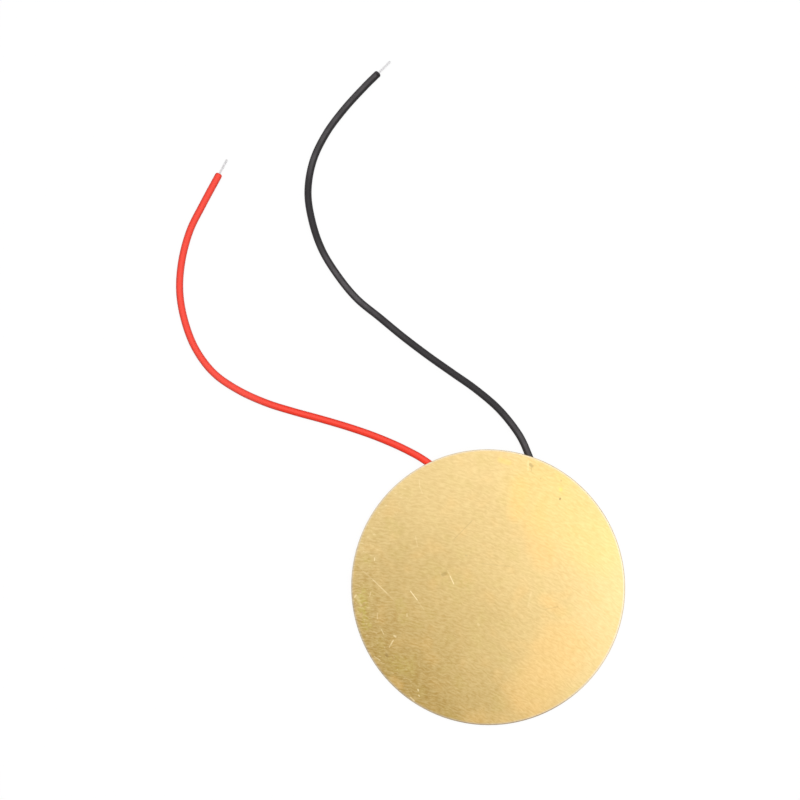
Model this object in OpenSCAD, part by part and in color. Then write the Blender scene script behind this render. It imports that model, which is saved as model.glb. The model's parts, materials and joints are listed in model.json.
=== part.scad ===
// Piezo disc with two leads.
// A thin ceramic disc is bonded to a stamped brass plate. One lead is soldered to the plate,
// the other to the silver electrode on the ceramic. The disc lies bare brass face up, as it
// rests on a flat surface: on the ceramic's far edge and on the crowns of both solder joints.
// Millimetres. Origin: on the surface, under the disc's centre. +Z up, +Y towards the leads.

/* [Brass plate] */
// Diameter of the stamped brass plate
plate_d = 27; // [26:0.5:35]
// Thickness of the brass sheet
plate_t = 0.3; // [0.1:0.05:0.5]
// Radius of the rolled-over edge that stamping leaves round the bare face
rollover_r = 0.06; // [0.02:0.01:0.08]

/* [Ceramic disc] */
// Diameter of the ceramic disc
ceramic_d = 19.7; // [15:0.1:20.5]
// Thickness of the ceramic disc
ceramic_t = 0.2; // [0.1:0.01:0.35]
// Thickness of each fired silver electrode
electrode_t = 0.01; // [0.005:0.005:0.02]
// Bare ceramic left round the open electrode
front_margin = 0.75; // [0.3:0.05:1.2]
// Bare ceramic left round the bonded electrode
back_margin = 0.2; // [0.1:0.05:0.4]
// Thickness of the bond film under the bonded electrode
bond_t = 0.02; // [0.01:0.005:0.04]
// Size of the fillet of bond squeezed out round the ceramic
bond_fillet = 0.14; // [0.05:0.01:0.2]

/* [Solder joints] */
// Diameter that the solder wets on the open electrode
ceramic_joint_d = 2; // [1.6:0.1:2.4]
// Height of the joint on the open electrode
ceramic_joint_h = 0.6; // [0.5:0.05:0.8]
// Diameter that the solder wets on the brass rim
brass_joint_d = 2.2; // [1.6:0.1:2.6]
// Radius of each joint's rounded crown
crown_r = 0.5; // [0.35:0.05:0.55]
// Angle at which the solder meets the metal that it wets
wetting_angle = 18; // [5:1:25]
// Place of the ceramic joint round the disc, from +X
ceramic_joint_at = 97; // [80:1:110]
// Place of the brass joint round the disc, from +X
brass_joint_at = 66; // [40:1:80]

/* [Leads] */
// Outer diameter of a lead's insulation
insulation_d = 0.72; // [0.6:0.02:0.86]
// Diameter of one of the seven tinned strands
strand_d = 0.08; // [0.06:0.01:0.1]
// Length over which the strands make one full turn
strand_lay = 2.8; // [2:0.1:5]
// Length of the tinned bare tip at a lead's far end
tip_l = 1.6; // [0.5:0.1:4]
// Direction in which the lead leaves the ceramic joint, from +X
ceramic_lead_way = 139; // [130:1:150]
// Direction in which the lead leaves the brass joint, from +X
brass_lead_way = 107; // [95:1:120]
// Distance beyond the plate's rim over which a lead comes down to the surface
landing_l = 8; // [5:0.5:12]

/* [Clearances] */
// Gap between a lead and the metal above it
lead_gap = 0.04; // [0.02:0.01:0.1]
// Bare strand between the brass joint and its insulation
strip_gap = 0.2; // [0.1:0.05:0.4]
// Gap between the red insulation's end and the bond fillet
edge_gap = 0.1; // [0.05:0.05:0.3]
// Bare electrode kept outside the ceramic joint
joint_margin = 0.1; // [0.05:0.05:0.5]

/* [Hidden] */
$fn = 96;

plate_r = plate_d / 2;
ceramic_r = ceramic_d / 2;
front_electrode_r = ceramic_r - front_margin;
back_electrode_r = ceramic_r - back_margin;
insulation_r = insulation_d / 2;
bundle_r = 1.5 * strand_d;

// Depths below the plate's bonded face, which is z = 0 in the disc's own frame
bond_face = bond_t;
back_electrode_face = bond_face + electrode_t;
ceramic_face = back_electrode_face + ceramic_t;
front_electrode_face = ceramic_face + electrode_t;
// The fillet climbs the ceramic's edge at most nine tenths of the way to its open face
fillet = min(bond_fillet, 0.9 * ceramic_face);
lead_depth = max(insulation_r, front_electrode_face + bundle_r) + lead_gap;

// Joint centres on the disc: inside the electrode's edge, and in the middle of the bare brass rim
ceramic_joint_r = front_electrode_r - joint_margin - ceramic_joint_d / 2;
ceramic_joint = ceramic_joint_r * heading(ceramic_joint_at);
brass_joint = (ceramic_r + plate_r) / 2 * heading(brass_joint_at);

// The disc rocks back until its far side and the ceramic joint's crown bear on the surface. The
// far side bears at the ceramic's edge, or at the rim of a plate that is much wider.
heels = [[ceramic_r, ceramic_face], [plate_r, 0]];
rest_tilt = min([for (heel = heels) tilt_onto(heel)]);
rest_lift = max([for (heel = heels) heel * [sin(rest_tilt), cos(rest_tilt)]]);

// The brass joint's crown bears on the surface too
brass_joint_h = (brass_joint.y * sin(rest_tilt) + rest_lift - crown_r) / cos(rest_tilt) + crown_r;

// Solder wicked along the strands where they leave a joint: its radius at the joint, its
// thickness where it runs out and how far past the joint it reaches
wick_r = 0.3;
wick_skin = 0.015;
wick_reach = 0.6;
// How far the strands reach into a joint, before its centre
strand_grip = 0.5;
// How far a cutting shape passes the faces that it cuts
cut_past = 1;

// Distances along each lead, from its joint's centre: where the insulation starts and
// where the lead passes the plate's rim
red_bare_l = reach_to_radius(ceramic_joint, ceramic_lead_way,
                             ceramic_r + fillet + edge_gap + insulation_r);
red_exit_l = reach_to_radius(ceramic_joint, ceramic_lead_way, plate_r);
black_bare_l = brass_joint_d / 2 + strip_gap;
black_exit_l = reach_to_radius(brass_joint, brass_lead_way, plate_r);

// Routes of the leads on the surface, measured from where each passes the plate's rim
red_run = [[-2.2, 1.3], [-4.9, 2.5], [-7.7, 3.5], [-10.7, 4.4], [-13.6, 5.2], [-16.4, 6.1],
           [-19.2, 7.4], [-21.6, 9.1], [-23.4, 11.5], [-24.5, 14.3], [-25, 17.2],
           [-24.8, 20.2], [-24, 23.2], [-22.7, 25.8], [-21, 28.9]];
black_run = [[-1, 2.1], [-2.9, 4.5], [-5.2, 6.5], [-7.6, 8.2], [-10, 9.9], [-12.5, 11.8],
             [-14.8, 13.7], [-17.1, 15.6], [-19, 17.9], [-20.6, 20.5], [-21.6, 23.4],
             [-22, 26.3], [-21.5, 29.3], [-20.2, 32], [-18.4, 34.4], [-16.35, 36.6],
             [-14.9, 38]];
tube_sides = 8;
rings_per_span = 2;

red_path = laid(lead_route(ceramic_joint, ceramic_lead_way, red_bare_l, red_exit_l, red_run));
black_path = laid(lead_route(brass_joint, brass_lead_way, black_bare_l, black_exit_l, black_run));

// ---- Vectors, routes and placing ----

function heading(angle) = [cos(angle), sin(angle)];

function unit(v) = v / norm(v);

// Tilt at which a heel, at a radius and a depth on the far side, and the ceramic joint's crown
// both touch a flat surface
function tilt_onto(heel) =
    let (reach = ceramic_joint.y + heel[0],
         drop = front_electrode_face + ceramic_joint_h - crown_r - heel[1])
    atan(drop / reach) + asin(crown_r / norm([reach, drop]));

// Distance from a point, along a direction, to the circle of radius r round the disc's axis
function reach_to_radius(from, angle, r) =
    let (along = from * heading(angle))
    sqrt(along * along - from * from + r * r) - along;

// A point or a direction of the disc's own frame, as it lies at rest
function turned(v) = [v.x,
                      v.y * cos(rest_tilt) - v.z * sin(rest_tilt),
                      v.y * sin(rest_tilt) + v.z * cos(rest_tilt)];

function at_rest(p) = turned(p) + [0, 0, rest_lift];

// A point on a lead's straight start, at a distance from its joint's centre
function on_lead(joint, angle, distance) =
    let (p = joint + distance * heading(angle))
    at_rest([p.x, p.y, -lead_depth]);

function lead_way(angle) = turned([cos(angle), sin(angle), 0]);

// Height share left at u, from 1 at the rim to 0 where the lead has landed
function landing(u) = u >= 1 ? 0 : (1 - u) * (1 - u) * (1 + 2 * u);

function lead_route(joint, angle, bare_l, exit_l, run) =
    let (rim = on_lead(joint, angle, exit_l))
    concat([on_lead(joint, angle, bare_l), rim],
           [for (p = run)
               let (height = insulation_r + (rim.z - insulation_r) * landing(norm(p) / landing_l))
               [rim.x + p.x, rim.y + p.y, height]]);

function spline_point(a, b, c, d, u) =
    b + u / 2 * (c - a + u * (2 * a - 5 * b + 4 * c - d + u * (3 * b - a - 3 * c + d)));

// A smooth path through every point of a route
function smooth(route) =
    let (last = len(route) - 1)
    concat([for (i = [0 : last - 1])
               let (before = i == 0 ? 2 * route[0] - route[1] : route[i - 1],
                    after = i == last - 1 ? 2 * route[last] - route[last - 1] : route[i + 2])
               for (k = [0 : rings_per_span - 1])
                   spline_point(before, route[i], route[i + 1], after, k / rings_per_span)],
           [route[last]]);

// The smooth path of a lead, nowhere lower than the surface that it lies on
function laid(route) = [for (p = smooth(route)) [p.x, p.y, max(p.z, insulation_r)]];

function end_way(path) = unit(path[len(path) - 1] - path[len(path) - 2]);

module disc_at_rest() {
    translate([0, 0, rest_lift]) rotate([rest_tilt, 0, 0]) children();
}

// Puts a child's +Z along a lead's straight start, from its joint's centre
module along_lead(joint, angle) {
    translate([joint.x, joint.y, -lead_depth]) rotate([0, 90, angle]) children();
}

// Puts a child's +Z along a direction, from a point
module along(point, way) {
    translate(point) rotate([0, acos(way.z), atan2(way.y, way.x)]) children();
}

// ---- Disc ----

module plate_outline() {
    square([plate_r - rollover_r, plate_t]);
    square([plate_r, plate_t - rollover_r]);
    translate([plate_r - rollover_r, plate_t - rollover_r]) circle(rollover_r);
}

module brass_plate() {
    color([0.90, 0.79, 0.52]) disc_at_rest() rotate_extrude() plate_outline();
}

// A disc of the stack, between two depths below the plate
module layer(r, top, bottom) {
    translate([0, 0, -bottom]) cylinder(h = bottom - top, r = r);
}

// Section of the squeezed-out bond, hollow towards the open corner
module fillet_outline() {
    hollow_r = 0.9 * fillet;
    translate([ceramic_r, -fillet]) difference() {
        square(fillet);
        translate([fillet, 0]) circle(hollow_r);
    }
}

module bond_film() {
    color([0.80, 0.72, 0.50]) disc_at_rest() {
        difference() {
            layer(ceramic_r, 0, back_electrode_face);
            layer(back_electrode_r, bond_face, back_electrode_face + cut_past);
        }
        rotate_extrude() fillet_outline();
    }
}

module back_electrode() {
    color([0.82, 0.82, 0.80]) disc_at_rest()
        layer(back_electrode_r, bond_face, back_electrode_face);
}

module ceramic_disc() {
    color([0.87, 0.84, 0.76]) disc_at_rest()
        layer(ceramic_r, back_electrode_face, ceramic_face);
}

module front_electrode() {
    color([0.86, 0.86, 0.84]) disc_at_rest()
        layer(front_electrode_r, ceramic_face, front_electrode_face);
}

// ---- Solder joints ----

// Half section of a joint: a round crown on a skirt that runs out hollow over the metal
module joint_outline(base_r, height) {
    crown_y = height - crown_r;
    skirt_r = (base_r * base_r + crown_y * crown_y - crown_r * crown_r)
        / (2 * (crown_r - base_r * sin(wetting_angle) + crown_y * cos(wetting_angle)));
    skirt_centre = [base_r + skirt_r * sin(wetting_angle), skirt_r * cos(wetting_angle)];
    meeting = [0, crown_y] + crown_r * unit(skirt_centre - [0, crown_y]);
    difference() {
        union() {
            polygon([[0, 0], [base_r, 0], meeting, [0, crown_y]]);
            intersection() {
                translate([0, crown_y]) circle(crown_r);
                square([crown_r, height]);
            }
        }
        translate(skirt_centre) circle(skirt_r);
    }
}

// A joint hanging from its seat, with the solder drawn out along the strands it holds, at
// most as far as they are bare
module solder_joint(joint, angle, seat, base_d, height, bare_l) {
    wick_l = min(base_d / 2 + wick_reach, bare_l);
    difference() {
        union() {
            translate([joint.x, joint.y, -seat]) mirror([0, 0, 1])
                rotate_extrude() joint_outline(base_d / 2, height);
            along_lead(joint, angle)
                cylinder(h = wick_l, r1 = wick_r, r2 = bundle_r + wick_skin);
        }
        // The metal that the joint is seated on
        translate([joint.x, joint.y, -seat]) cylinder(h = cut_past, r = base_d + wick_l);
        along_lead(joint, angle) translate([0, 0, -strand_grip])
            cylinder(h = strand_grip + wick_l + cut_past, r = bundle_r);
    }
}

module ceramic_joint_solder() {
    color([0.76, 0.77, 0.78]) disc_at_rest()
        solder_joint(ceramic_joint, ceramic_lead_way, front_electrode_face,
                     ceramic_joint_d, ceramic_joint_h, red_bare_l);
}

module brass_joint_solder() {
    color([0.76, 0.77, 0.78]) disc_at_rest()
        solder_joint(brass_joint, brass_lead_way, 0, brass_joint_d, brass_joint_h, black_bare_l);
}

// ---- Leads ----

// Seven strands, six laid round one, with the hollows between them filled by the tinning
module bundle_outline() {
    rotate(30) circle(strand_d, $fn = 6);
    for (k = [0 : 5]) rotate(60 * k) translate([strand_d, 0]) circle(strand_d / 2, $fn = 12);
}

// The twisted bare end of a conductor, from inside its joint to the insulation
module joint_strands(joint, angle, bare_l) {
    length = strand_grip + bare_l;
    turn = 360 * length / strand_lay;
    along_lead(joint, angle) translate([0, 0, -strand_grip])
        linear_extrude(height = length, twist = turn, slices = ceil(turn / 20), segments = 1)
            bundle_outline();
}

module red_joint_strands() {
    color([0.80, 0.80, 0.80]) disc_at_rest()
        joint_strands(ceramic_joint, ceramic_lead_way, red_bare_l);
}

module black_joint_strands() {
    color([0.80, 0.80, 0.80]) disc_at_rest()
        joint_strands(brass_joint, brass_lead_way, black_bare_l);
}

// Insulation: flats at its true radius, so that it lies on the surface
module lead_tube(path, first_way) {
    last = len(path) - 1;
    corner_r = insulation_r / cos(180 / tube_sides);
    points = [for (i = [0 : last])
        let (way = i == 0 ? first_way : i == last ? end_way(path) : unit(path[i + 1] - path[i - 1]),
             side = unit(cross(way, [0, 0, 1])),
             up = cross(side, way))
        for (k = [0 : tube_sides - 1])
            let (angle = (k + 0.5) * 360 / tube_sides)
            path[i] + corner_r * (cos(angle) * side + sin(angle) * up)];
    walls = [for (i = [0 : last - 1], k = [0 : tube_sides - 1])
        let (a = i * tube_sides + k, b = i * tube_sides + (k + 1) % tube_sides)
        [a, b, b + tube_sides, a + tube_sides]];
    first_cap = [for (k = [tube_sides - 1 : -1 : 0]) k];
    last_cap = [for (k = [0 : tube_sides - 1]) last * tube_sides + k];
    polyhedron(points, concat([first_cap], walls, [last_cap]), convexity = 10);
}

module red_insulation() {
    color([0.90, 0.16, 0.12]) lead_tube(red_path, lead_way(ceramic_lead_way));
}

module black_insulation() {
    color([0.20, 0.19, 0.19]) lead_tube(black_path, lead_way(brass_lead_way));
}

// Tinned tip with a rounded end, in line with the end of its lead
module tinned_tip(path) {
    round_r = 0.45 * bundle_r;
    along(path[len(path) - 1], end_way(path)) rotate_extrude() {
        square([bundle_r, tip_l - round_r]);
        square([bundle_r - round_r, tip_l]);
        translate([bundle_r - round_r, tip_l - round_r]) circle(round_r);
    }
}

module red_tip() {
    color([0.80, 0.80, 0.80]) tinned_tip(red_path);
}

module black_tip() {
    color([0.80, 0.80, 0.80]) tinned_tip(black_path);
}

brass_plate();
bond_film();
back_electrode();
ceramic_disc();
front_electrode();
ceramic_joint_solder();
brass_joint_solder();
red_joint_strands();
black_joint_strands();
red_insulation();
black_insulation();
red_tip();
black_tip();
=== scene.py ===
"""Leads, finishes and studio of a piezo disc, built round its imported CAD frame, in metres.

The disc, its solder joints and the strands in them are the frame's own nodes, with procedural
materials. The leads' insulation and their tinned tips are modelled here.
"""

import json
import math

import bmesh
import bpy
from bpy.props import FloatProperty, FloatVectorProperty, PointerProperty
from mathutils import Matrix, Vector
from mathutils.geometry import interpolate_bezier
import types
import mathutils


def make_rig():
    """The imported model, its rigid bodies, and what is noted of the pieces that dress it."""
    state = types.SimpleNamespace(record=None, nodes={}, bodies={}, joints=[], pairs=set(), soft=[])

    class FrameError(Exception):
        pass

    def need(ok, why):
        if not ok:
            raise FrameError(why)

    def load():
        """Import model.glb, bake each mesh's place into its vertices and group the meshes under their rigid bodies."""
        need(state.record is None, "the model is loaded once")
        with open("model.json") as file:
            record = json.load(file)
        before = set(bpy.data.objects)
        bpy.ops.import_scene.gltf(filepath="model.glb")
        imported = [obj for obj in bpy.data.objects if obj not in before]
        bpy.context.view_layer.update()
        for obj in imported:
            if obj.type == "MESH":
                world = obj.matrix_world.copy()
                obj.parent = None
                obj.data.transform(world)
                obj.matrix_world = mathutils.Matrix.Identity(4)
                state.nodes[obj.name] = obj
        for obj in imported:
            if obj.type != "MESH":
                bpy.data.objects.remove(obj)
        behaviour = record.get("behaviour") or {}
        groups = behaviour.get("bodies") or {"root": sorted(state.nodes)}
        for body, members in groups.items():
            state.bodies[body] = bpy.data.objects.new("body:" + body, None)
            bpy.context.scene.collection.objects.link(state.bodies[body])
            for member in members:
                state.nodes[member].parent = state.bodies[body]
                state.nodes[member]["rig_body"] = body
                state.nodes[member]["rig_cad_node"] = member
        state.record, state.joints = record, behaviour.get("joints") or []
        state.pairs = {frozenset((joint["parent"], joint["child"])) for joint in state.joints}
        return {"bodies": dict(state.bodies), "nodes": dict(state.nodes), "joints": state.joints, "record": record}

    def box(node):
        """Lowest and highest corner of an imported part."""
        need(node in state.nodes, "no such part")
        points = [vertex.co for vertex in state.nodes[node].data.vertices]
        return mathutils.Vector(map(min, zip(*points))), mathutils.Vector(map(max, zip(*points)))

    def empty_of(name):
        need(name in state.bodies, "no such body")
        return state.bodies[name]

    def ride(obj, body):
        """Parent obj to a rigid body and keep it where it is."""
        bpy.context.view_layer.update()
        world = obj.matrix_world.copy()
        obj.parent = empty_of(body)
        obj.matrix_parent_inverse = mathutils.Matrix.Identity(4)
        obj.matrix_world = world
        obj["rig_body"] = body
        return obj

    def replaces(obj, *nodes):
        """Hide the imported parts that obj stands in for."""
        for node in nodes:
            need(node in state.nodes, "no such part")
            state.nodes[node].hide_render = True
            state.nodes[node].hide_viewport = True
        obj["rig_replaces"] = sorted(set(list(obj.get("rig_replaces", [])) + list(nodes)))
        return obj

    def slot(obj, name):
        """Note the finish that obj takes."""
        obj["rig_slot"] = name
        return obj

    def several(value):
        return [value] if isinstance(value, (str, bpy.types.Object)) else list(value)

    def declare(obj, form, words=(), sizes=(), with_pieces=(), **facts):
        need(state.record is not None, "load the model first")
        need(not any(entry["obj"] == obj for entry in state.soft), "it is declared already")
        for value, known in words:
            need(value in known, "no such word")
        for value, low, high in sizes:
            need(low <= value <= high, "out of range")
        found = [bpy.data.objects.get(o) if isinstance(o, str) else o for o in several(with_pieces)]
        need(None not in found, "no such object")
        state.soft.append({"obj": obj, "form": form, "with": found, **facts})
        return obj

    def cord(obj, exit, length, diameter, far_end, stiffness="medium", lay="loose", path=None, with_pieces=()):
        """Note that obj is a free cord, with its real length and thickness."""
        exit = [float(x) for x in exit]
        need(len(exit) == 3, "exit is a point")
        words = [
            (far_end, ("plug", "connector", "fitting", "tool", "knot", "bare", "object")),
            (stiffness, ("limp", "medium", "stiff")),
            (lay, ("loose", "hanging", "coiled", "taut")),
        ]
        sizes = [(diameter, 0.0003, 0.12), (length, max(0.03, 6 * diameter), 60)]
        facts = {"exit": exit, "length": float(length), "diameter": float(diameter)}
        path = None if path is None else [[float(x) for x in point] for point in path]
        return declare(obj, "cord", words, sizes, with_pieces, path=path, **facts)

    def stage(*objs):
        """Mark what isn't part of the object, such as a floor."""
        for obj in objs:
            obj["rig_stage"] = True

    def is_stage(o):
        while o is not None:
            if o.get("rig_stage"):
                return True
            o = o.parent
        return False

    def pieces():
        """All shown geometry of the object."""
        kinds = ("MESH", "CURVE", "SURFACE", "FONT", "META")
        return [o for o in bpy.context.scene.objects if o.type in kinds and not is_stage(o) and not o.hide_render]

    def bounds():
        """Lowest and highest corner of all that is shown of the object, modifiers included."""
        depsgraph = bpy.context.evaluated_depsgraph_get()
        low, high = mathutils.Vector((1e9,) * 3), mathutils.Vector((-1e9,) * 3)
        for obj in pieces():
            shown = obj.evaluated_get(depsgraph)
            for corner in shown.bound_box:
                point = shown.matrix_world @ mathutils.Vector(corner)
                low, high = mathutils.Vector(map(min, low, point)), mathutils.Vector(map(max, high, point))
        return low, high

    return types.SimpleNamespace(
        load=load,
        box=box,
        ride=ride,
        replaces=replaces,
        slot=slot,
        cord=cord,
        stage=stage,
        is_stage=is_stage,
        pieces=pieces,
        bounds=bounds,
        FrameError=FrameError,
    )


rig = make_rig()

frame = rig.load()
CAD_BOX = [list(corner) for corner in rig.bounds()]
MM = 0.001
# Attribute of the insulation that tells its top from its sides, for the painted highlight along the top
CROWN = "crown"

bl_info = {
    "name": "Piezo disc",
    "version": (1, 0, 0),
    "blender": (4, 5, 0),
    "location": "3D View > Sidebar > Piezo disc",
    "description": "Finishes, leads and studio for the frame of a piezo disc",
    "category": "Object",
}


# ---- Settings ----

def length(name, default, description):
    return FloatProperty(name=name, default=default, min=0, precision=6, unit="LENGTH",
                         description=description)


def share(name, default, description):
    return FloatProperty(name=name, default=default, min=0, soft_max=1, description=description)


def colour(name, default, description):
    return FloatVectorProperty(name=name, default=default, subtype="COLOR", size=3, min=0, max=1,
                               description=description)


class PIEZO_PG_studio(bpy.types.PropertyGroup):
    """Camera, lamps and floor."""
    camera_place: FloatVectorProperty(
        name="Camera", default=(0.048, 0, 0.4), subtype="TRANSLATION", unit="LENGTH",
        description="Where the camera stands")
    camera_target: FloatVectorProperty(
        name="Target", default=(-0.008764, 0.018438, 0), subtype="TRANSLATION", unit="LENGTH",
        description="The point on the floor that the camera looks at")
    lens: FloatProperty(name="Lens", default=184.49, min=1, unit="CAMERA",
                        description="Focal length of the camera")
    key_place: FloatVectorProperty(
        name="Key lamp", default=(0.028, 0.008, 0.2), subtype="TRANSLATION", unit="LENGTH",
        description="Where the soft lamp stands that lights the brass from the right")
    key_size: length("Key size", 0.04, "Diameter of the key lamp")
    key_power: FloatProperty(name="Key power", default=0.032, min=0, unit="POWER",
                             description="Power of the key lamp")
    sky_low: share("Sky at the horizon", 0.04, "Strength of the sky's light at the horizon")
    sky_rise: FloatProperty(name="Sky's rise", default=3.92, min=0,
                            description="How much stronger the sky's light is overhead")
    sky_way: FloatVectorProperty(
        name="Sky direction", default=(0.2, 0.095, 0.975), subtype="DIRECTION",
        description="Where in the sky the light is strongest")
    floor_radius: length("Floor radius", 1.0, "Radius of the white floor")
    floor_shadow: share("Floor shadow", 0.08, "How much of the object's shadow the floor shows")
    floor_bounce: share("Floor bounce", 0.25, "How much light the floor throws back")


class PIEZO_PG_leads(bpy.types.PropertyGroup):
    """Sizes and colours of the leads."""
    insulation_d: length("Insulation diameter", 0.00072, "Outer diameter of the insulation")
    strand_d: length("Strand diameter", 0.00008, "Diameter of one of the seven strands")
    strand_lay: length("Strand lay", 0.0028, "Length over which the strands turn once")
    tip_l: length("Tip length", 0.0016, "Length of the tinned bare tip")
    landing_l: length("Landing length", 0.008,
                      "Distance beyond the rim over which a lead comes down to the floor")
    end_round: length("End rounding", 0.00022, "Rounding of the insulation's cut ends")
    red: colour("Red", (0.92, 0.050, 0.026), "Colour of the red insulation")
    # Pale red is also the painted highlight along the red lead's crown
    pale_red_and_sheen: colour("Pale red", (0.94, 0.085, 0.058), "Red where the insulation has paled")
    black: colour("Black", (0.026, 0.0235, 0.025), "Colour of the black insulation")
    # The paler black of the painted highlight along the black lead's crown
    black_sheen: colour("Worn black", (0.088, 0.081, 0.085), "Black where its crown is worn dull")
    tinned: colour("Tinned copper", (0.72, 0.71, 0.72), "Colour of the tinned strands")
    copper: colour("Copper", (0.60, 0.49, 0.42), "Colour where copper shows through the tin")


class PIEZO_PG_brass(bpy.types.PropertyGroup):
    """Finish of the brass sheet."""
    clean: colour("Clean brass", (0.758, 0.571, 0.271), "Colour of the least tarnished brass")
    tarnished: colour("Tarnished brass", (0.428, 0.296, 0.106), "Colour of the tarnished brass")
    streak: colour("Streak", (0.57, 0.57, 0.39), "What a bright streak adds to each colour")
    warm: colour("Warm brass", (0.80, 0.50, 0.185), "Colour of the orange patches and bands")
    olive: colour("Olive brass", (0.50, 0.42, 0.11), "Colour of the green-yellow patches")
    yellow: colour("Yellow stain", (0.76, 0.62, 0.10), "Colour of the yellow stains")
    bare: colour("Fresh scratch", (0.98, 0.84, 0.52), "Colour of the metal in a fresh scratch")
    stain: colour("Stain", (0.20, 0.13, 0.05), "Colour of the specks and dark scratches")
    # Dark colour along the rim: a faint sheared edge all round, and painted shade towards +X and -Y
    edge: colour("Sheared edge", (0.30, 0.22, 0.13), "Colour of the edge that stamping leaves")
    roughness: share("Roughness", 0.34, "Roughness of the rolled face")
    streak_turn: FloatProperty(name="Streak direction", default=math.radians(-22),
                               unit="ROTATION", description="Direction of the rolling streaks")
    streak_contrast: share("Streak contrast", 0.33, "How far the streaks lighten and darken")
    streak_depth: length("Streak depth", 1e-6, "Depth of the rolling streaks")


class PIEZO_PG_stack(bpy.types.PropertyGroup):
    """Finish of the ceramic, its silver, the bond and the solder."""
    ceramic: colour("Ceramic", (0.72, 0.67, 0.55), "Colour of the ceramic")
    speck: colour("Ceramic speck", (0.42, 0.36, 0.27), "Colour of the specks in the ceramic")
    silver: colour("Fired silver", (0.72, 0.72, 0.70), "Colour of the fired silver")
    flux: colour("Flux", (0.45, 0.27, 0.09), "Colour of the flux left round a joint")
    bond: colour("Bond", (0.50, 0.36, 0.15), "Colour of the bond film")
    solder: colour("Solder", (0.62, 0.63, 0.65), "Colour of the solder")


SETTINGS = {
    "studio": PIEZO_PG_studio,
    "leads": PIEZO_PG_leads,
    "brass": PIEZO_PG_brass,
    "stack": PIEZO_PG_stack,
}


def settings(group):
    return getattr(bpy.context.scene, "piezo_" + group)


# ---- Shader maths ----

class Value:
    """A socket of a node tree. Python's operators on it add Math nodes."""

    def __init__(self, tree, socket):
        self.tree = tree
        self.socket = socket

    def node(self, kind, setup=None, inputs=None, output=0):
        return add_node(self.tree, kind, setup, inputs, output)

    def math(self, operation, *terms):
        return self.node("ShaderNodeMath", {"operation": operation}, dict(enumerate(terms)))

    def __add__(self, other):
        return self.math("ADD", self, other)

    def __radd__(self, other):
        return self.math("ADD", other, self)

    def __sub__(self, other):
        return self.math("SUBTRACT", self, other)

    def __rsub__(self, other):
        return self.math("SUBTRACT", other, self)

    def __mul__(self, other):
        return self.math("MULTIPLY", self, other)

    def __rmul__(self, other):
        return self.math("MULTIPLY", other, self)

    def __pow__(self, other):
        return self.math("POWER", self, other)

    def __rpow__(self, other):
        return self.math("POWER", other, self)

    def root(self):
        return self.math("SQRT", self)

    def most(self, other):
        return self.math("MAXIMUM", self, other)

    def least(self, other):
        return self.math("MINIMUM", self, other)

    def clamped(self):
        return self.most(0).least(1)

    def step(self, low, high, result=(0, 1)):
        """Runs smoothly from the first result at low to the second at high."""
        values = {0: self, 1: low, 2: high, 3: result[0], 4: result[1]}
        setup = {"interpolation_type": "SMOOTHSTEP", "clamp": False}
        return self.node("ShaderNodeMapRange", setup, values)

    def vector(self, operation, *terms, output=0, **named):
        inputs = dict(enumerate((self,) + terms))
        inputs.update({name.title(): value for name, value in named.items()})
        return self.node("ShaderNodeVectorMath", {"operation": operation}, inputs, output)

    def turned_scaled(self, turn, scale):
        """Coordinates turned about Z, then stretched."""
        turned = self.node("ShaderNodeVectorRotate", {"rotation_type": "Z_AXIS"},
                           {"Vector": self, "Angle": turn})
        return turned.vector("MULTIPLY", scale)

    def noise(self, scale=1, detail=2, roughness=0.5):
        return self.node("ShaderNodeTexNoise", {},
                         {"Vector": self, "Scale": scale, "Detail": detail, "Roughness": roughness})

    def parts(self):
        return [self.node("ShaderNodeSeparateXYZ", {}, {0: self}, output=i) for i in range(3)]

    def distance_to(self, start, end):
        """Distance from a place on the face to a straight mark between two points."""
        start, along = Vector((*start, 0)), Vector((*end, 0)) - Vector((*start, 0))
        ahead = self.vector("SUBTRACT", tuple(start))
        run = ahead.vector("DOT_PRODUCT", tuple(along / along.length_squared), output=1)
        nearest = run.node("ShaderNodeVectorMath", {"operation": "SCALE"},
                           {0: tuple(along), "Scale": run.clamped()})
        return ahead.vector("DISTANCE", nearest, output=1)


def add_node(tree, kind, setup=None, inputs=None, output=0):
    """Adds a node with its settings, then its inputs, and gives one of its outputs."""
    node = tree.nodes.new(kind)
    for name, value in (setup or {}).items():
        setattr(node, name, value)
    for name, value in (inputs or {}).items():
        if isinstance(value, Value):
            tree.links.new(value.socket, node.inputs[name])
        else:
            node.inputs[name].default_value = value
    return Value(tree, node.outputs[output] if node.outputs else None)


def rgba(value):
    return (*value, 1)


def mix(factor, a, b):
    """Mixes two colours, of which one or both may be plain."""
    a, b = (c if isinstance(c, Value) else rgba(c) for c in (a, b))
    return factor.node("ShaderNodeMix", {"data_type": "RGBA"}, {0: factor, 6: a, 7: b}, output=2)


def bump(height, depth):
    """A normal for heights from 0 to 1 that stand for that depth in metres."""
    return height.node("ShaderNodeBump", {}, {"Height": height, "Distance": depth})


class Finish:
    """A material made of one Principled shader, and the place on the piece in millimetres."""

    def __init__(self, name):
        self.material = bpy.data.materials.new(name)
        self.material.use_nodes = True
        self.tree = self.material.node_tree
        self.tree.nodes.clear()
        place = add_node(self.tree, "ShaderNodeTexCoord", output=3)
        self.place = place.vector("SCALE", scale=1 / MM)

    def done(self, **inputs):
        """The finished material, from the shader's inputs, such as base_color."""
        named = {name.replace("_", " ").title().replace("Ior", "IOR"): value
                 for name, value in inputs.items()}
        shader = add_node(self.tree, "ShaderNodeBsdfPrincipled", {}, named)
        add_node(self.tree, "ShaderNodeOutputMaterial", {}, {"Surface": shader})
        return self.material


# ---- Finishes ----

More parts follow.
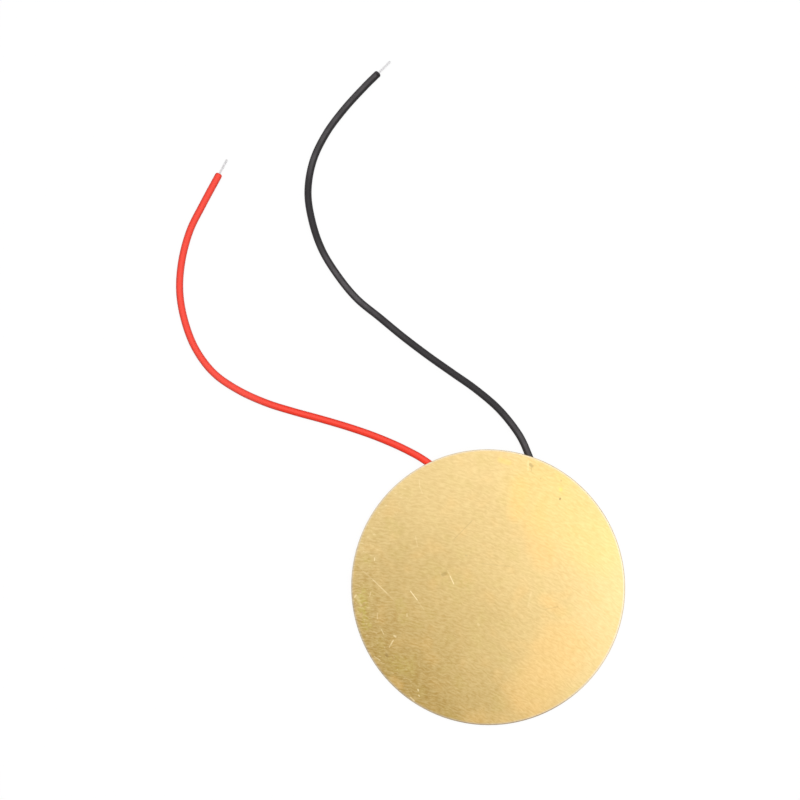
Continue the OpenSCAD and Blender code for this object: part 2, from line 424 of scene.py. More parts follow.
# Marks on the bare face, in millimetres from its centre: start, end, half width, strength
FRESH_SCRATCHES = [
    ((-12.35, 1.61), (-11.35, 0.75), 0.045, 0.15), ((-11.35, 0.75), (-9.94, -0.6), 0.045, 0.34),
    ((-9.94, -0.6), (-9.24, -1.31), 0.045, 0.12), ((-7.6, -0.4), (-6.94, -1.26), 0.045, 0.55),
    ((-6.93, -1.31), (-6.28, -2.21), 0.04, 0.12), ((-3.68, 1.1), (-3.31, 0.32), 0.05, 0.5),
    ((-3.92, 1.61), (-3.72, 1.21), 0.05, 0.15), ((-6.69, 10.55), (-6.63, 9.79), 0.05, 0.16),
    ((-6.63, 9.79), (-6.38, 9.19), 0.05, 0.14), ((-7.09, 5.02), (-6.89, 4.02), 0.05, 0.16),
    ((-11.15, 2.86), (-11.15, 2.61), 0.05, 0.45), ((-7.96, -2.61), (-7.96, -2.86), 0.04, 0.4),
    ((-9.24, -4.77), (-9.09, -4.87), 0.08, 0.4), ((-9.34, -5.22), (-9.57, -5.62), 0.055, 0.4),
    ((-9.66, -5.77), (-9.72, -5.88), 0.06, 0.3), ((-10.51, -4.17), (-10.28, -4.62), 0.045, 0.3),
    ((-6.91, -10.04), (-6.87, -10.16), 0.065, 0.5), ((-6.83, -10.6), (-6.77, -10.7), 0.06, 0.4),
    ((-7.65, -10.8), (-7.28, -11.15), 0.05, 0.4), ((-11.25, -6.78), (-10.65, -7.18), 0.045, 0.3),
    ((-13.01, -0.8), (-13.16, -1), 0.08, 0.4), ((-11.55, -0.5), (-11.65, -0.9), 0.05, 0.25),
    ((-0.95, -3.62), (-0.85, -3.72), 0.09, 0.2), ((4.32, -0.5), (3.97, -1.91), 0.1, 0.1),
    ((4.08, 12.35), (4.06, 11.35), 0.04, 0.2), ((-10.9, -2.61), (-10.9, -3.11), 0.05, 0.25),
    ((-12.9, -0.95), (-12.75, -1.3), 0.16, 0.16), ((-12.6, -1.6), (-12.5, -1.75), 0.1, 0.2)]
DARK_MARKS = [
    ((4.3, 11.98), (4.46, 11.81), 0.14, 0.34), ((4.38, 11.75), (4.38, 11.35), 0.05, 0.2),
    ((5.3, 10.63), (5.32, 10.57), 0.06, 0.2), ((7.31, 10.43), (7.31, 10.34), 0.06, 0.3),
    ((7.21, 8.65), (7.19, 8.58), 0.08, 0.6), ((6.43, 11.85), (6.63, 11.73), 0.05, 0.4),
    ((-3.28, 4.68), (-1.48, 6.49), 0.045, 0.15), ((-4.37, 1.24), (-4.12, 1.36), 0.17, 0.26),
    ((-2.11, 3.09), (-2.01, 3.07), 0.08, 0.2), ((-10.04, -6.63), (-9.94, -6.75), 0.13, 0.4),
    ((5.71, -2.16), (6.93, -1.91), 0.05, 0.16), ((-0.5, 2.31), (2.21, 2.01), 0.06, 0.1),
    ((-12.65, -5.02), (-11.95, -6.23), 0.05, 0.2)]
WARM_SMUDGES = [
    ((3.21, 9.94), (2.81, 7.23), 0.8, 0.35), ((4.62, 6.03), (5.62, 2.81), 1.2, 0.3),
    ((5.6, -1.2), (7.2, -2.4), 0.6, 0.22), ((7.2, -5.8), (4.2, -10.6), 2.4, 0.35),
    ((-2.01, -12.96), (3.62, -12.76), 0.7, 0.12), ((-9.34, -9.04), (-8.64, -9.64), 0.35, 0.2)]
OLIVE_SMUDGES = [
    ((-12.5, -0.6), (-12.35, -2.41), 0.5, 0.5), ((-12.1, -3.21), (-11.9, -3.82), 0.45, 0.4),
    ((-9.04, -7.43), (-8.03, -7.93), 0.9, 0.2), ((-9.64, 6.23), (-9.04, 5.42), 0.7, 0.15),
    ((-11.95, 2.91), (-11.75, 2.41), 0.4, 0.2), ((-4.62, 1.21), (-2.21, 0.4), 0.9, 0.15),
    ((-8.6, -1.5), (-8.3, -3.2), 0.5, 0.2)]
YELLOW_STAINS = [
    ((7.25, 9.56), (7.28, 9.5), 0.19, 0.45), ((7.18, 9.84), (7.28, 9.24), 0.4, 0.15),
    ((6.93, 10.95), (7.93, 10.24), 0.5, 0.15), ((1.31, 12.45), (2.21, 12.15), 0.25, 0.2),
    ((5.02, 9.54), (10.55, 4.52), 3.0, 0.12)]


# Shares of a mark's half width within which it is at full strength, and beyond which it is gone
MARK_CORE, MARK_REACH = 0.4, 1.6

# Tarnish of the bare face: its level at the centre, what each millimetre towards +X and +Y and
# each square millimetre of X times Y adds, and the range over which its patches vary it.
# Its slope is partly real tarnish and partly painted light: lighter towards +X, where the key lamp
# lights the brass, and darker towards -X and -Y.
TARNISH_LEVEL, TARNISH_PATCHES = 0.47, 0.3
TARNISH_AND_LIGHT_X, TARNISH_AND_LIGHT_Y, TARNISH_AND_LIGHT_XY = -0.023, -0.02, 0.0023
# Strips along the rim at -X and -Y: where each fades out, in millimetres, and the tarnish it adds
LEFT_STRIP, LOW_STRIP = (-13, -9), (-13, -8)
LEFT_TARNISH, LOW_TARNISH = -0.05, 0.05

# Strength of the streaks on clean brass, what full tarnish adds, and their share at the left strip
STREAKS_ON_CLEAN, STREAKS_ON_TARNISH, STREAKS_AT_LEFT = 0.43, 0.25, 1.45
# Density across and along the streaks of their strokes, their bundles and the worn flecks
STROKE_SCALE, BUNDLE_SCALE, FLECK_SCALE = (1.8, 6.2, 1), (0.8, 2.8, 1), (2.4, 5.5, 1)
# Shares of the strokes, their bundles and the grain in a streak
STROKE_SHARE, BUNDLE_SHARE, GRAIN_SHARE = 0.7, 0.18, 0.12

# Distances inside the rim, in millimetres, between which flecks, greying and the dark rim, mostly painted shade, set
# in
FLECKS_IN, GREY_IN, RIM_SHADE_IN = (4.5, 0.8), (0.25, 0.05), (0.13, 0.05)
# How grey the rim turns, and how much each colour counts for that grey
RIM_GREY, GREY_WEIGHTS = 0.4, (0.39, 0.77, 0.13)
# The dark rim line is painted shade, strongest at the near rim: what each millimetre towards +X and -Y counts for that
NEAR_X, NEAR_Y = 0.0103, 0.0733


def marked(place, marks):
    """How far a place is covered by straight soft-edged marks."""
    cover = None
    for start, end, half, strength in marks:
        one = place.distance_to(start, end).step(MARK_CORE * half, MARK_REACH * half,
                                                 (strength, 0))
        cover = one if cover is None else cover.most(one)
    return cover


def brass_finish():
    """Rolled brass: short wavy streaks, patches of tarnish, scratches, specks and stains."""
    s = settings("brass")
    finish = Finish("rolled_brass")
    seat = next(m for m in frame["record"]["mounts"] if m["name"] == "bare_face")
    face = Vector(seat["pos_m"]) / MM
    depth = finish.place.vector("SUBTRACT", tuple(face)) \
        .vector("DOT_PRODUCT", tuple(-Vector(seat["axis"])), output=1)
    on_face = depth.step(0.005, 0.02, (1, 0))
    p = finish.place.vector("MULTIPLY", (1, 1, 0))
    x, y, _ = p.parts()
    radius = (x * x + y * y).root()
    low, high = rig.box("brass_plate")
    plate_r = (high.x - low.x) / 2 / MM

    streaks = rolling_streaks(p, s.streak_turn)
    # The mix towards tarnished brass is partly real tarnish and partly painted light, darker towards -X and -Y
    tarnish_and_light = tarnish_and_light_on(p, x, y)
    base = mix(tarnish_and_light, tuple(s.clean), tuple(s.tarnished))
    hue = p.noise(0.45, detail=1)
    base = mix(hue.step(0.5, 0.75, (0, 0.15)), base, tuple(s.warm))
    base = mix(hue.step(0.25, 0.5, (0.12, 0)), base, tuple(s.olive))

    mottle = p.noise(2.5, detail=1).step(0.3, 0.6)
    base = mix(marked(p, WARM_SMUDGES) * on_face, base, tuple(s.warm))
    base = mix(marked(p, OLIVE_SMUDGES) * mottle * on_face, base, tuple(s.olive))
    base = mix(marked(p, YELLOW_STAINS) * on_face, base, tuple(s.yellow))
    contrast = (tarnish_and_light * STREAKS_ON_TARNISH + STREAKS_ON_CLEAN) \
        * x.step(*LEFT_STRIP, (STREAKS_AT_LEFT, 1)) * s.streak_contrast
    lift = ((streaks - 0.5) * contrast).vector("MULTIPLY", tuple(s.streak))
    base = base.vector("ADD", lift)

    flecks = p.turned_scaled(-s.streak_turn, FLECK_SCALE).noise(1, detail=1).step(0.62, 0.74)
    scuffed = radius.step(*rim_radii(plate_r, FLECKS_IN)) * x.step(-9.5, -5, (0.22, 0))
    fresh = marked(p, FRESH_SCRATCHES).most(flecks * scuffed) * on_face
    dark = marked(p, DARK_MARKS) * on_face
    base = mix(fresh, base, tuple(s.bare))
    base = mix(dark, base, tuple(s.stain))

    grey = base.vector("DOT_PRODUCT", GREY_WEIGHTS, output=1)
    base = mix(radius.step(*rim_radii(plate_r, GREY_IN), (0, RIM_GREY)) * on_face, base, grey)
    # Painted shade: the rim darkens strongly towards +X and -Y, with only a faint sheared edge elsewhere
    near_shade = (x * NEAR_X - y * NEAR_Y).step(0.78, 0.97, (0.03, 0.88))
    rim = radius.step(*rim_radii(plate_r, RIM_SHADE_IN)) * near_shade
    base = mix(rim, base, tuple(s.edge))
    rough = streaks * 0.03 + s.roughness - 0.015 + dark * 0.25
    return finish.done(base_color=base, metallic=1.0, roughness=rough,
                       normal=bump(streaks - fresh * 2, s.streak_depth))


def rim_radii(plate_r, depths):
    """Radii that lie these distances inside the plate's rim."""
    return [plate_r - depth for depth in depths]


def tarnish_and_light_on(place, x, y):
    """How far the face is tarnished, from 0 to 1: a slope across it, two strips and patches. The slope is partly real
    tarnish and partly painted light, darker towards -X and -Y.
    """
    patches = place.noise(0.2, detail=3, roughness=0.55)
    tarnish_and_light_slope = x * TARNISH_AND_LIGHT_X + y * TARNISH_AND_LIGHT_Y + x * y * TARNISH_AND_LIGHT_XY + TARNISH_LEVEL
    whole = tarnish_and_light_slope + x.step(*LEFT_STRIP, (LEFT_TARNISH, 0)) + y.step(*LOW_STRIP, (LOW_TARNISH, 0))
    return (whole + (patches - 0.5) * TARNISH_PATCHES).clamped()


def rolling_streaks(place, turn):
    """Short wavy strokes along the rolling direction, from 0 to 1."""
    x, _, _ = place.parts()
    sway = place.noise(1.1, detail=2) - 0.5
    bent = place.vector("ADD", sway.node("ShaderNodeCombineXYZ", {}, {
        "X": sway * 0.3, "Y": sway * 0.35}))
    way = x * 0.012 - turn
    strokes = bent.turned_scaled(way, STROKE_SCALE).noise(1, detail=2)
    bundles = bent.turned_scaled(way, BUNDLE_SCALE).noise(1, detail=1)
    grain = place.noise(6, detail=1)
    return (strokes * STROKE_SHARE + bundles * BUNDLE_SHARE + grain * GRAIN_SHARE) \
        .step(0.28, 0.72)


def vinyl_finish(name, base, other, spread, unevenness):
    """Smooth extruded vinyl. Spread gives, at a place, how far its colour is the other one."""
    finish = Finish(name)
    crown = add_node(finish.tree, "ShaderNodeAttribute", {"attribute_name": CROWN}, output=2)
    mottle = finish.place.noise(1.4, detail=3)
    skin = finish.place.noise(14, detail=2)
    # Spread puts the leads' painted highlight along their crown, and the red lead's real paling
    shade = mix(spread(finish.place, crown), base, other)
    shade = shade.vector("SCALE", scale=(mottle - 0.5) * unevenness + 1)
    return finish.done(base_color=shade, roughness=skin * 0.12 + 0.42, specular_ior_level=0.15,
                       normal=bump(skin, 2e-6))


# Where the red lead turns pale all round, towards -X, and where that eases, towards +Y, in millimetres
PALED_FROM, PALED_EASES = (-24.5, -19.5), (20.5, 25)
# Painted highlight along the black lead's crown: stretches of Y in millimetres, with what each adds before and after
SHEEN_STRETCHES = [(13, 19, 0.8, 0.12), (21, 26, 0, 0.2), (26, 28.5, 0, 0.65), (31, 35, 0, -0.85),
        (39.5, 42.5, 0, 0.56)]


def paled_and_sheen(place, crown):
    """The red lead is paler all round from its first bend on, and has a painted highlight along its crown."""
    x, y, _ = place.parts()
    pale = x.step(*PALED_FROM, (1, 0)) * y.step(*PALED_EASES, (1, 0.72))
    # The crown's share is a painted highlight
    return pale.most(crown.step(0.85, 1, (0, 0.8)))


def crown_sheen(place, crown):
    """The black lead has a painted highlight along its crown: at its start, midway and towards its end."""
    _, y, _ = place.parts()
    stretch = None
    for low, high, before, after in SHEEN_STRETCHES:
        one = y.step(low, high, (before, after))
        stretch = one if stretch is None else stretch + one
    uneven = place.noise(0.9, detail=2).step(0.3, 0.7, (0.75, 1.25))
    return crown.step(0.72, 0.99) * stretch * uneven


def tinned_finish():
    """Tinned copper: bright, slightly uneven, with copper showing faintly."""
    s = settings("leads")
    finish = Finish("tinned_copper")
    uneven = finish.place.noise(12, detail=2)
    warm = finish.place.noise(3.5, detail=1).step(0.58, 0.75) * 0.3
    shade = mix(warm, tuple(s.tinned), tuple(s.copper))
    return finish.done(base_color=shade, metallic=1.0, roughness=uneven * 0.2 + 0.32,
                       normal=bump(uneven, 3e-6))


def solder_finish():
    """Solder: bright, with the faint grain and lumps that it sets with."""
    s = settings("stack")
    finish = Finish("solder")
    lumps = finish.place.noise(3.2, detail=2)
    grain = finish.place.noise(24, detail=2)
    dull = finish.place.noise(1.8, detail=2).step(0.4, 0.7)
    shade = mix(dull, tuple(s.solder), tuple(0.82 * c for c in s.solder))
    return finish.done(base_color=shade, metallic=1.0, roughness=dull * 0.18 + 0.2,
                       normal=bump(lumps * 0.85 + grain * 0.15, 3e-5))


def ceramic_finish():
    """Lapped ceramic: pale, fine-grained, with a few specks."""
    s = settings("stack")
    finish = Finish("piezo_ceramic")
    grain = finish.place.noise(18, detail=3)
    cloud = finish.place.noise(0.7, detail=3)
    specks = finish.place.noise(5, detail=1).step(0.72, 0.8) * 0.5
    shade = mix(cloud, tuple(s.ceramic), tuple(0.9 * c for c in s.ceramic))
    shade = mix(specks, shade, tuple(s.speck))
    return finish.done(base_color=shade, roughness=grain * 0.2 + 0.45,
                       normal=bump(grain, 4e-6))


def silver_finish():
    """Fired silver: matt, printed through a mesh, yellowed by flux round the solder."""
    s = settings("stack")
    finish = Finish("fired_silver")
    p = finish.place
    mesh = p.node("ShaderNodeTexWave", {"bands_direction": "X"}, {"Vector": p, "Scale": 2.4}) \
        * p.node("ShaderNodeTexWave", {"bands_direction": "Y"}, {"Vector": p, "Scale": 2.4})
    grain = p.noise(16, detail=3)
    cloud = p.noise(0.4, detail=3, roughness=0.6)
    low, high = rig.box("ceramic_joint_solder")
    centre = (low + high) / 2 / MM
    reach = p.vector("DISTANCE", tuple(centre), output=1) + (p.noise(0.9, detail=2) - 0.5) * 1.2
    fluxed = reach.step(1.2, 2.2, (0.55, 0))
    shade = mix(cloud, tuple(s.silver), tuple(0.86 * c for c in s.silver))
    shade = mix(fluxed, shade, tuple(s.flux))
    return finish.done(base_color=shade, metallic=0.85, roughness=grain * 0.15 + 0.42,
                       normal=bump(mesh * 0.6 + grain * 0.4, 4e-6))


def bond_finish():
    """Bond film: amber resin with a wet look."""
    s = settings("stack")
    finish = Finish("bond")
    cloud = finish.place.noise(1.2, detail=3)
    shade = mix(cloud, tuple(s.bond), tuple(0.75 * c for c in s.bond))
    return finish.done(base_color=shade, roughness=cloud * 0.15 + 0.15,
                       normal=bump(cloud, 1e-5))


def dress(node, material):
    """Gives one of the frame's nodes its material."""
    slots = frame["nodes"][node].data.materials
    slots.clear()
    slots.append(material)


# ---- Studio ----

# How sharply the sky's light gathers round its direction
SKY_FOCUS = 6
# The floor lies this far below the part, clear of the faces that rest on it
FLOOR_DROP = 0.01 * MM
SENSOR_WIDTH = 36


def look_from(place, target):
    """A placing that looks from one point at another, with +Y up in the picture."""
    ahead = (target - place).normalized()
    up = (Vector((0, 1, 0)) - ahead * ahead.y).normalized()
    right = ahead.cross(up)
    turn = Matrix((right, up, -ahead)).transposed()
    return Matrix.Translation(place) @ turn.to_4x4()


def seen_directly(tree):
    """1 for what the camera sees, also in a gloss or through glass, and 0 for other light."""
    path = add_node(tree, "ShaderNodeLightPath").socket.node
    camera, glossy, through = (Value(tree, path.outputs[name]) for name in
                               ("Is Camera Ray", "Is Glossy Ray", "Is Transmission Ray"))
    return camera.most(glossy).most(through)


class PIEZO_OT_studio(bpy.types.Operator):
    """Make the camera, the key lamp, the sky and the white floor"""
    bl_idname = "piezo.studio"
    bl_label = "Studio"

    def execute(self, context):
        self.camera(context)
        self.key_lamp(context)
        self.sky(context)
        self.floor(context)
        context.scene.view_settings.view_transform = "Standard"
        return {"FINISHED"}

    def camera(self, context):
        s = settings("studio")
        data = bpy.data.cameras.new("camera")
        data.lens = s.lens
        data.sensor_width = SENSOR_WIDTH
        camera = bpy.data.objects.new("camera", data)
        camera.matrix_world = look_from(Vector(s.camera_place), Vector(s.camera_target))
        data.clip_start = 0.01
        data.clip_end = 10
        context.scene.collection.objects.link(camera)
        context.scene.camera = camera

    def key_lamp(self, context):
        s = settings("studio")
        data = bpy.data.lights.new("key", "AREA")
        data.shape = "DISK"
        data.size = s.key_size
        data.energy = s.key_power
        lamp = bpy.data.objects.new("key", data)
        lamp.matrix_world = look_from(Vector(s.key_place), Vector((0, 0, 0)))
        lamp.visible_camera = False
        context.scene.collection.objects.link(lamp)

    def sky(self, context):
        s = settings("studio")
        world = bpy.data.worlds.new("sky")
        world.use_nodes = True
        tree = world.node_tree
        tree.nodes.clear()
        direction = add_node(tree, "ShaderNodeTexCoord")
        overhead = direction.vector("DOT_PRODUCT", tuple(s.sky_way), output=1).most(0)
        light = overhead ** SKY_FOCUS * s.sky_rise + s.sky_low
        seen = seen_directly(tree)
        strength = seen + (1 - seen) * light
        shader = add_node(tree, "ShaderNodeBackground", {},
                          {"Color": (1, 1, 1, 1), "Strength": strength})
        add_node(tree, "ShaderNodeOutputWorld", {}, {"Surface": shader})
        context.scene.world = world

    def floor(self, context):
        s = settings("studio")
        bm = bmesh.new()
        bmesh.ops.create_circle(bm, cap_ends=True, radius=s.floor_radius, segments=64)
        bmesh.ops.translate(bm, verts=bm.verts, vec=(0, 0, -FLOOR_DROP))
        floor = new_piece("floor", bm, self.floor_finish())
        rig.stage(floor)

    def floor_finish(self):
        """White where it is seen, with part of the real floor's shading for the shadow."""
        s = settings("studio")
        material = bpy.data.materials.new("floor")
        material.use_nodes = True
        tree = material.node_tree
        tree.nodes.clear()
        white = add_node(tree, "ShaderNodeEmission", {}, {"Color": (1, 1, 1, 1), "Strength": 1})
        lit = add_node(tree, "ShaderNodeBsdfDiffuse", {}, {"Color": (1, 1, 1, 1)})
        shown = add_node(tree, "ShaderNodeMixShader", {}, {0: s.floor_shadow, 1: white, 2: lit})
        bounce = add_node(tree, "ShaderNodeBsdfDiffuse", {}, {"Color": rgba([s.floor_bounce] * 3)})
        surface = add_node(tree, "ShaderNodeMixShader", {},
                           {0: seen_directly(tree), 1: bounce, 2: shown})
        add_node(tree, "ShaderNodeOutputMaterial", {}, {"Surface": surface})
        return material


# ---- Pieces ----

def new_piece(name, bm, material):
    """Turns a bmesh into a smoothly shaded object at the origin."""
    mesh = bpy.data.meshes.new(name)
    bm.to_mesh(mesh)
    bm.free()
    for face in mesh.polygons:
        face.use_smooth = True
    mesh.materials.append(material)
    piece = bpy.data.objects.new(name, mesh)
    bpy.context.scene.collection.objects.link(piece)
    return piece


# Routes of the leads on the floor, measured from where each passes the plate's rim
RED_RUN = [(-0.0022, 0.0013), (-0.0049, 0.0025), (-0.0077, 0.0035), (-0.0107, 0.0044),
           (-0.0136, 0.0052), (-0.0164, 0.0061), (-0.0192, 0.0074), (-0.0216, 0.0091),
           (-0.0234, 0.0115), (-0.0245, 0.0143), (-0.025, 0.0172), (-0.0248, 0.0202),
           (-0.024, 0.0232), (-0.0227, 0.0258), (-0.021, 0.0289)]
BLACK_RUN = [(-0.001, 0.0021), (-0.0029, 0.0045), (-0.0052, 0.0065), (-0.0076, 0.0082),
             (-0.01, 0.0099), (-0.0125, 0.0118), (-0.0148, 0.0137), (-0.0171, 0.0156),
             (-0.019, 0.0179), (-0.0206, 0.0205), (-0.0216, 0.0234), (-0.022, 0.0263),
             (-0.0215, 0.0293), (-0.0202, 0.032), (-0.0184, 0.0344), (-0.01635, 0.0366),
             (-0.0149, 0.038)]
# Directions in which they leave their joints, seen from above
RED_WAY, BLACK_WAY = math.radians(139), math.radians(107)
# How far the crown, with the painted highlight along it, is turned to the right of each lead, at its start and at its
# end
RED_CROWN_TURNS = (math.radians(30), math.radians(-20))
BLACK_CROWN_TURNS = (math.radians(20), math.radians(-8))
POINTS_PER_SPAN = 10
TUBE_SIDES = 24
# Segments of the rounding on a cut end
ROUND_SEGMENTS = 3
# Radius of the conductor's hole in the insulation, in strand diameters
BORE_SHARE = 1.6
# Depth within which a bundle's vertices belong to its end face
END_DEPTH = 0.02 * MM

# How far a tip reaches into its insulation, and the share by which its end is splayed
TIP_INSIDE = 0.1 * MM
TIP_SPLAY = 0.12
# Radius of the middle strand with the tin round it, in strand diameters
CORE_SHARE = 0.62
# How much shorter than the middle strand each of the six round it is, in millimetres
STRAND_TRIMS = (0, 0.05, 0.02, 0.07, 0.03, 0.06)
STRAND_SIDES = 12
STRAND_STEPS = 24
# Rounding of a strand's end, as a share of its radius
STRAND_ROUND = 0.6


def bundle_ends(node, plan_way):
    """Centres of the two end faces of a straight bundle of strands, in its plan direction."""
    points = [v.co.copy() for v in frame["nodes"][node].data.vertices]
    reaches = [p.xy.dot(plan_way) for p in points]
    ends = []
    for reach in (min(reaches), max(reaches)):
        face = [p for p, r in zip(points, reaches) if abs(r - reach) < END_DEPTH]
        corners = [[pick(p[i] for p in face) for i in range(3)] for pick in (min, max)]
        ends.append((Vector(corners[0]) + Vector(corners[1])) / 2)
    return ends


class Lead:
    """The centreline of one lead, from its insulation's start to its far end."""

    def __init__(self, colour_name, plan_angle, run):
        self.name = colour_name
        plan_way = Vector((math.cos(plan_angle), math.sin(plan_angle)))
        first, self.start = bundle_ends(colour_name + "_joint_strands", plan_way)
        self.way = (self.start - first).normalized()
        self.radius = settings("leads").insulation_d / 2
        rim = self.start + self.way * self.way_to_rim()
        self.points = [self.start, rim] + [self.landed(rim, Vector(p)) for p in run]
        self.path = self.smooth()
        self.end = self.path[-1]
        self.end_way = (self.path[-1] - self.path[-2]).normalized()

    def way_to_rim(self):
        low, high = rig.box("brass_plate")
        plate_r = (high.x - low.x) / 2
        flat_way = self.way.xy
        across = self.start.xy.dot(flat_way)
        inside = plate_r ** 2 - self.start.xy.length_squared
        return (math.sqrt(across ** 2 + inside * flat_way.length_squared) - across) \
            / flat_way.length_squared

    def landed(self, rim, step):
        """A point of the run, at its height on the way down from the rim to the floor."""
        u = min(step.length / settings("leads").landing_l, 1)
        height = self.radius + (rim.z - self.radius) * (1 - u) ** 2 * (1 + 2 * u)
        return Vector((rim.x + step.x, rim.y + step.y, height))

    def smooth(self):
        """A smooth path through all points, nowhere lower than the floor that it lies on."""
        points = self.points
        before = [2 * points[0] - points[1]] + points[:-1]
        after = points[1:] + [2 * points[-1] - points[-2]]
        reach = [(b - a) / 6 for a, b in zip(before, after)]
        path = []
        for i in range(len(points) - 1):
            span = interpolate_bezier(points[i], points[i] + reach[i],
                                      points[i + 1] - reach[i + 1], points[i + 1],
                                      POINTS_PER_SPAN + 1)
            path += span[:-1]
        path.append(points[-1])
        return [Vector((p.x, p.y, max(p.z, self.radius))) for p in path]


def path_length(path):
    return sum((b - a).length for a, b in zip(path, path[1:]))


def facing(point, way):
    """A placing with +Z along a direction, +X level to its left and +Y upwards."""
    left = Vector((0, 0, 1)).cross(way).normalized()
    up = way.cross(left)
    return Matrix.Translation(point) @ Matrix((left, up, way)).transposed().to_4x4()


def sweep_tube(path, radius, crown_turns):
    """A closed tube along a path, grown ring by ring from a capped circle.

    Its crown attribute runs from 1 along the top to -1 along the bottom. The crown is turned to
    the right of the path, by an angle that changes evenly between the two given for its ends.
    """
    bm = bmesh.new()
    bmesh.ops.create_circle(bm, cap_ends=True, radius=radius, segments=TUBE_SIDES)
    crown = bm.verts.layers.float.new(CROWN)
    cap = bm.faces[:]
    last = Matrix.Identity(4)
    ways = [(b - a).normalized() for a, b in zip([path[0]] + path, path[1:] + [path[-1]])]
    placings = [facing(p, w) for p, w in zip(path, ways)]
    for i, placing in enumerate(placings):
        if i > 0:
            grown = bmesh.ops.extrude_face_region(bm, geom=cap)
            # Extruding keeps the old cap inside the tube. Only the one at its start stays.
            if i > 1:
                bmesh.ops.delete(bm, geom=cap, context="FACES_ONLY")
            cap = [g for g in grown["geom"] if isinstance(g, bmesh.types.BMFace)]
        ring = list({v for f in cap for v in f.verts})
        bmesh.ops.transform(bm, matrix=last.inverted(), verts=ring)
        # The turn sets where the painted highlight lies across the crown
        turn = crown_turns[0] + (crown_turns[1] - crown_turns[0]) * i / len(path)
        for vert in ring:
            vert[crown] = vert.co.xy.dot((-math.sin(turn), math.cos(turn))) / radius
        bmesh.ops.transform(bm, matrix=placing, verts=ring)
        last = placing
    bmesh.ops.recalc_face_normals(bm, faces=bm.faces)
    return bm


def cut_ends(bm, wall, rounding):
    """Rounds the two cut ends of a tube and marks off its wall round the conductor."""
    for cap in [f for f in bm.faces if len(f.verts) > 4]:
        bmesh.ops.bevel(bm, geom=list(cap.edges), offset=rounding, segments=ROUND_SEGMENTS,
                        profile=0.5, affect="EDGES", material=-1)
    caps = [f for f in bm.faces if len(f.verts) > 4]
    bmesh.ops.inset_individual(bm, faces=caps, thickness=wall)


class PIEZO_OT_leads(bpy.types.Operator):
    """Make both leads' insulation and their tinned tips, along the frame's routes"""
    bl_idname = "piezo.leads"
    bl_label = "Leads"

    def execute(self, context):
        s = settings("leads")
        tinned = tinned_finish()
        for name in ("red_joint_strands", "black_joint_strands"):
            dress(name, tinned)
        red = vinyl_finish("red_vinyl", tuple(s.red), tuple(s.pale_red_and_sheen), paled_and_sheen,
                           unevenness=0.03)
        black = vinyl_finish("black_vinyl", tuple(s.black), tuple(s.black_sheen), crown_sheen,
                             unevenness=0.2)
        self.lead(Lead("red", RED_WAY, RED_RUN), red, RED_CROWN_TURNS, tinned)
        self.lead(Lead("black", BLACK_WAY, BLACK_RUN), black, BLACK_CROWN_TURNS, tinned)
        return {"FINISHED"}

    def lead(self, lead, vinyl, crown_turns, tinned):
        s = settings("leads")
        bm = sweep_tube(lead.path, lead.radius, crown_turns)
        cut_ends(bm, lead.radius - s.end_round - BORE_SHARE * s.strand_d, s.end_round)
        tube = new_piece(lead.name + "_lead", bm, vinyl)
        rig.ride(tube, "root")
        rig.replaces(tube, lead.name + "_insulation")
        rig.slot(tube, lead.name + "_insulation")
        tip = self.tip(lead, tinned)
        strands = frame["nodes"][lead.name + "_joint_strands"]
        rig.cord(tube, exit=lead.start, length=round(path_length(lead.path), 4),
                diameter=s.insulation_d, far_end="bare", stiffness="medium", lay="loose",
                path=lead.path, with_pieces=[tip, strands])

    def tip(self, lead, tinned):
        """Six strands laid round one, fused by the tinning and a little splayed at the end."""
        s = settings("leads")
        bm = bmesh.new()
        self.strand(bm, 0, s.strand_d * CORE_SHARE, TIP_INSIDE + s.tip_l, 0)
        for k, trim in enumerate(STRAND_TRIMS):
            reach = TIP_INSIDE + s.tip_l - trim * MM
            turn = -2 * math.pi * reach / s.strand_lay
            self.strand(bm, s.strand_d, s.strand_d / 2, reach, turn, k)
        for vert in bm.verts:
            u = max(vert.co.z - TIP_INSIDE, 0) / s.tip_l
            vert.co.xy *= 1 + TIP_SPLAY * u * u
        start = lead.end - lead.end_way * TIP_INSIDE
        bmesh.ops.transform(bm, matrix=facing(start, lead.end_way), verts=bm.verts)
        piece = new_piece(lead.name + "_tinned_tip", bm, tinned)
        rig.ride(piece, "root")
        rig.replaces(piece, lead.name + "_tip")
        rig.slot(piece, "tinned_copper")
        return piece

    def strand(self, bm, offset, radius, reach, turn, k=0):
        """One strand, swept up a helix round the bundle's axis, with a rounded end.

        It is the kth of the six round the middle one, and a negative turn makes it left-handed.
        """
        place = Matrix.Rotation(k * math.pi / 3, 4, "Z") @ Matrix.Translation((offset, 0, 0))
        made = bmesh.ops.create_circle(bm, cap_ends=True, radius=radius,
                                       segments=STRAND_SIDES, matrix=place)
        verts = made["verts"]
        geom = verts + list({e for v in verts for e in v.link_edges}) \
            + list({f for v in verts for f in v.link_faces})
        grown = bmesh.ops.spin(bm, geom=geom, cent=(0, 0, 0), axis=(0, 0, 1), angle=turn,
                               dvec=(0, 0, reach / STRAND_STEPS), steps=STRAND_STEPS)
        cap = [g for g in grown["geom_last"] if isinstance(g, bmesh.types.BMFace)]
        bmesh.ops.bevel(bm, geom=list(cap[0].edges), offset=STRAND_ROUND * radius,
                        segments=ROUND_SEGMENTS, profile=0.5, affect="EDGES", material=-1)


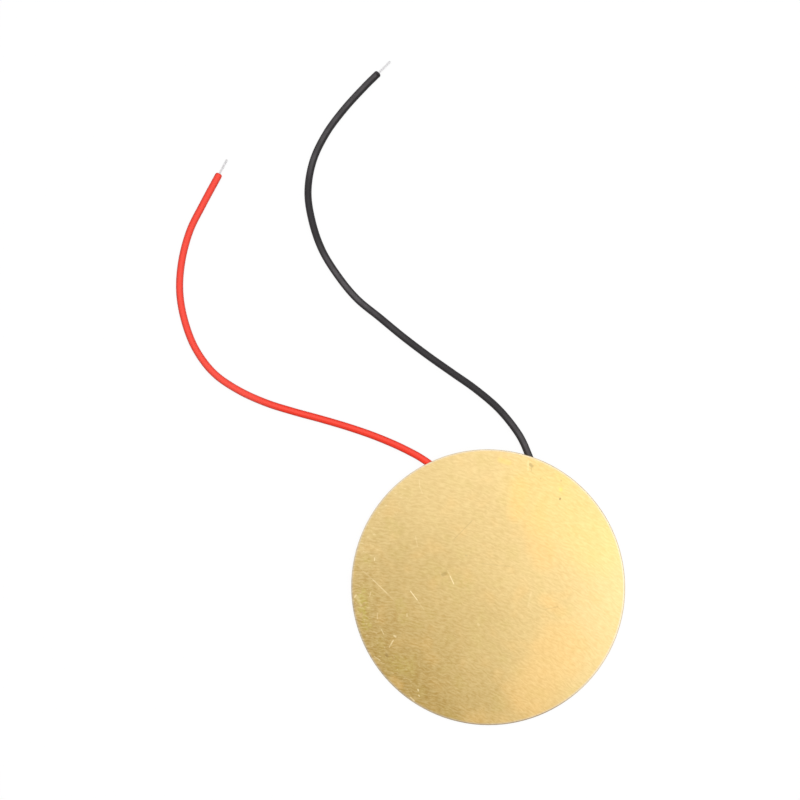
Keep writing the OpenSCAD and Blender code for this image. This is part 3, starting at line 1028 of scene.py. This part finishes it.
class PIEZO_OT_plate(bpy.types.Operator):
    """Finish the brass plate"""
    bl_idname = "piezo.plate"
    bl_label = "Brass plate"

    def execute(self, context):
        dress("brass_plate", brass_finish())
        return {"FINISHED"}


class PIEZO_OT_stack(bpy.types.Operator):
    """Finish the ceramic, both silver electrodes and the bond"""
    bl_idname = "piezo.stack"
    bl_label = "Ceramic and silver"

    def execute(self, context):
        dress("ceramic_disc", ceramic_finish())
        silver = silver_finish()
        dress("front_electrode", silver)
        dress("back_electrode", silver)
        dress("bond_film", bond_finish())
        return {"FINISHED"}


class PIEZO_OT_solder(bpy.types.Operator):
    """Finish both solder joints"""
    bl_idname = "piezo.solder"
    bl_label = "Solder joints"

    def execute(self, context):
        solder = solder_finish()
        dress("ceramic_joint_solder", solder)
        dress("brass_joint_solder", solder)
        return {"FINISHED"}


OPERATORS = [PIEZO_OT_studio, PIEZO_OT_leads, PIEZO_OT_plate, PIEZO_OT_stack, PIEZO_OT_solder]


class PIEZO_PT_panel(bpy.types.Panel):
    """Settings and steps of the piezo disc"""
    bl_label = "Piezo disc"
    bl_space_type = "VIEW_3D"
    bl_region_type = "UI"
    bl_category = "Piezo disc"

    def draw(self, context):
        for group, kind in SETTINGS.items():
            box = self.layout.box()
            box.label(text=group.title())
            for name in kind.__annotations__:
                box.prop(settings(group), name)
        for step in OPERATORS:
            self.layout.operator(step.bl_idname)


def register():
    for kind in [*SETTINGS.values(), *OPERATORS, PIEZO_PT_panel]:
        bpy.utils.register_class(kind)
    for group, kind in SETTINGS.items():
        setattr(bpy.types.Scene, "piezo_" + group, PointerProperty(type=kind))


def unregister():
    for group in SETTINGS:
        delattr(bpy.types.Scene, "piezo_" + group)
    for kind in [PIEZO_PT_panel, *OPERATORS, *SETTINGS.values()]:
        bpy.utils.unregister_class(kind)


def main():
    register()
    bpy.ops.piezo.studio()
    bpy.ops.piezo.leads()
    bpy.ops.piezo.plate()
    bpy.ops.piezo.stack()
    bpy.ops.piezo.solder()
    visual_box = [list(corner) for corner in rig.bounds()]
    with open("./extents.json", "w") as file:
        json.dump({"cad": CAD_BOX, "visual": visual_box}, file)


if __name__ == "__main__":
    main()
